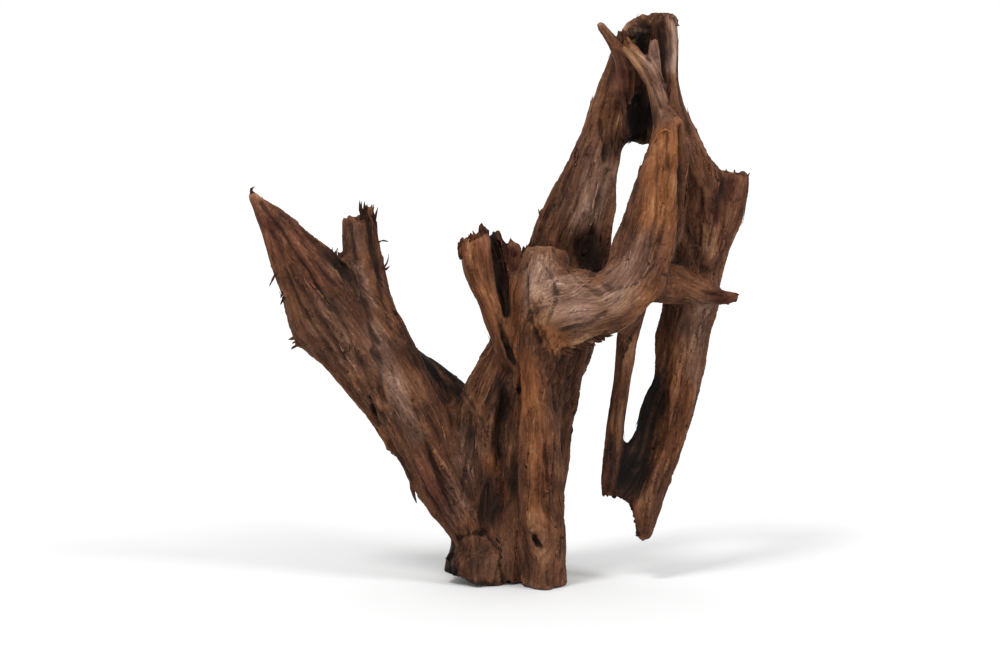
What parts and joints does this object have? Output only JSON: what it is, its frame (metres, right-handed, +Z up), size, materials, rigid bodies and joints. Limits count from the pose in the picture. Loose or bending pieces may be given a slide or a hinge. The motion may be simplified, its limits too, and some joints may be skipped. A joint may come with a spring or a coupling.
{
  "type": "driftwood",
  "caption": "Weathered root stump with a fan-shaped arm, a hollow-topped stem, a hanging limb and a hooked branch; stands on its broken foot.",
  "frame": {"origin": "on the floor, under the middle of the wood's outline seen from above", "axes": "+Z up, along the height, which is the longest extent; +Y away from the viewer, through the thickness, which is the shortest; +X to the viewer's right, along the spread of the arms"},
  "size_m": [0.375, 0.1166, 0.4312],
  "materials": {
    "weathered_wood": "weathered, fibrous, matt"
  },
  "bodies": {
    "root": {"driftwood": "weathered_wood"}
  },
  "joints": []
}
